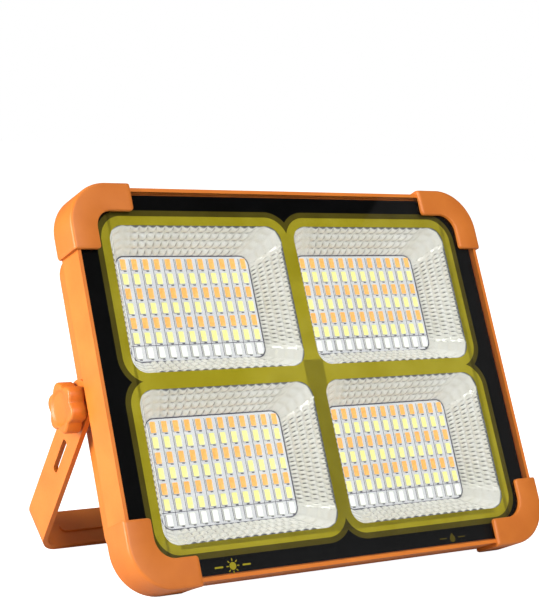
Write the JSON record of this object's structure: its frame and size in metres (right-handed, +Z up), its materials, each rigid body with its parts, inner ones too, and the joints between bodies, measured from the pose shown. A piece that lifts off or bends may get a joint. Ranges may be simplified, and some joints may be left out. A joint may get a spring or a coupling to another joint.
{
  "type": "solar flood light",
  "caption": "Portable rechargeable work light: a flat LED panel behind glass with corner bumpers, leaning on a clamped U bracket, with a solar panel in its back.",
  "frame": {"origin": "middle of the lamp's footprint on the floor, under the centre of its box", "axes": "+Z up, +X to the right when looking at the glass, +Y towards the back; the glass faces -Y and upwards"},
  "size_m": [0.2566, 0.1164, 0.1801],
  "materials": {
    "housing_plastic": "fine moulded grain",
    "orange_rubber": "satin, lightly textured",
    "knob_plastic": "satin",
    "bracket_paint": "powder coat",
    "zinc_steel": "zinc plated",
    "insert_brass": "turned",
    "black_rubber": "matt",
    "clear_glass": "polished",
    "black_ink": "printed behind glass",
    "olive_ink": "printed behind glass",
    "gold_ink": "printed behind glass",
    "silvered_plastic": "vacuum coated",
    "white_board": "solder mask",
    "amber_phosphor": "cast silicone",
    "yellow_phosphor": "cast silicone",
    "clear_phosphor": "cast silicone",
    "plain_aluminium": "mill finish",
    "red_lead": "extruded",
    "pouch_foil": "laminated foil",
    "cream_plastic": "moulded",
    "green_laminate": "solder mask",
    "black_plastic": "moulded",
    "light_pipe": "clear acrylic",
    "tinned_steel": "tinned",
    "silicon": "polycrystalline cells",
    "solar_glass": "polished",
    "button_rubber": "satin"
  },
  "bodies": {
    "housing": {"front_frame": "housing_plastic", "rear_housing": "housing_plastic", "housing_screws": "zinc_steel", "front_glass": "clear_glass", "glass_gasket": "black_rubber", "black_print": "black_ink", "olive_print": "olive_ink", "gold_print": "gold_ink", "amber_leds": "amber_phosphor", "yellow_leds": "yellow_phosphor", "clear_leds": "clear_phosphor", "heat_spreader": "plain_aluminium", "spreader_screws": "zinc_steel", "board_screws": "zinc_steel", "board_jumpers": "red_lead", "battery_left": "pouch_foil", "battery_right": "pouch_foil", "battery_pads": "black_rubber", "battery_plugs": "cream_plastic", "battery_leads": "red_lead", "control_board": "green_laminate", "control_chips": "black_plastic", "control_screws": "zinc_steel", "charge_inductor": "black_plastic", "button_switch": "black_plastic", "indicator_leds": "clear_phosphor", "indicator_lights": "light_pipe", "usb_a_socket": "tinned_steel", "usb_c_socket": "tinned_steel", "solar_board": "black_plastic", "solar_cells": "silicon", "solar_cover": "solar_glass", "solar_leads": "red_lead", "led_leads": "red_lead", "port_cover_pin": "zinc_steel", "bumper_top_left": "orange_rubber", "reflector_top_left": "silvered_plastic", "led_board_top_left": "white_board", "bumper_top_right": "orange_rubber", "reflector_top_right": "silvered_plastic", "led_board_top_right": "white_board", "bumper_bottom_left": "orange_rubber", "reflector_bottom_left": "silvered_plastic", "led_board_bottom_left": "white_board", "bumper_bottom_right": "orange_rubber", "reflector_bottom_right": "silvered_plastic", "led_board_bottom_right": "white_board", "insert_left": "insert_brass", "friction_washer_left": "black_rubber", "insert_right": "insert_brass", "friction_washer_right": "black_rubber"},
    "bracket": {"bracket": "bracket_paint"},
    "clamp_left": {"clamp_washer_left": "zinc_steel"},
    "clamp_right": {"clamp_washer_right": "zinc_steel"},
    "knob_left": {"knob_left": "knob_plastic", "stud_left": "zinc_steel"},
    "knob_right": {"knob_right": "knob_plastic", "stud_right": "zinc_steel"},
    "power_button": {"power_button": "button_rubber"},
    "port_cover": {"port_cover": "orange_rubber"}
  },
  "joints": [
    {"name": "bracket_tilt", "type": "hinge", "parent": "housing", "child": "bracket", "pos_m": [0, 0.01163, 0.07703], "axis": [1, 0, 0], "range_deg": [-55, 90]},
    {"name": "left_knob_travel", "type": "slide", "parent": "housing", "child": "clamp_left", "axis": [-1, 0, 0], "range_m": [0, 0.00201]},
    {"name": "left_knob_turn", "type": "hinge", "parent": "clamp_left", "child": "knob_left", "pos_m": [-0.12, 0.01163, 0.07703], "axis": [-1, 0, 0], "range_deg": [0, 720]},
    {"name": "right_knob_travel", "type": "slide", "parent": "housing", "child": "clamp_right", "axis": [1, 0, 0], "range_m": [0, 0.00201]},
    {"name": "right_knob_turn", "type": "hinge", "parent": "clamp_right", "child": "knob_right", "pos_m": [0.12, 0.01163, 0.07703], "axis": [1, 0, 0], "range_deg": [0, 720]},
    {"name": "power_button_press", "type": "slide", "parent": "housing", "child": "power_button", "axis": [0, -0.8946, 0.4469], "range_m": [0, 0.001], "stiffness_N_per_m": 900, "springref_m": -0.001},
    {"name": "port_cover_hinge", "type": "hinge", "parent": "housing", "child": "port_cover", "pos_m": [0.062, 0.05264, 0.13585], "axis": [1, 0, 0], "range_deg": [0, 95]}
  ],
  "couplings": [
    {"joint": "left_knob_travel", "follows": "left_knob_turn", "m_per_rad": 0.00015915},
    {"joint": "right_knob_travel", "follows": "right_knob_turn", "m_per_rad": 0.00015915}
  ]
}
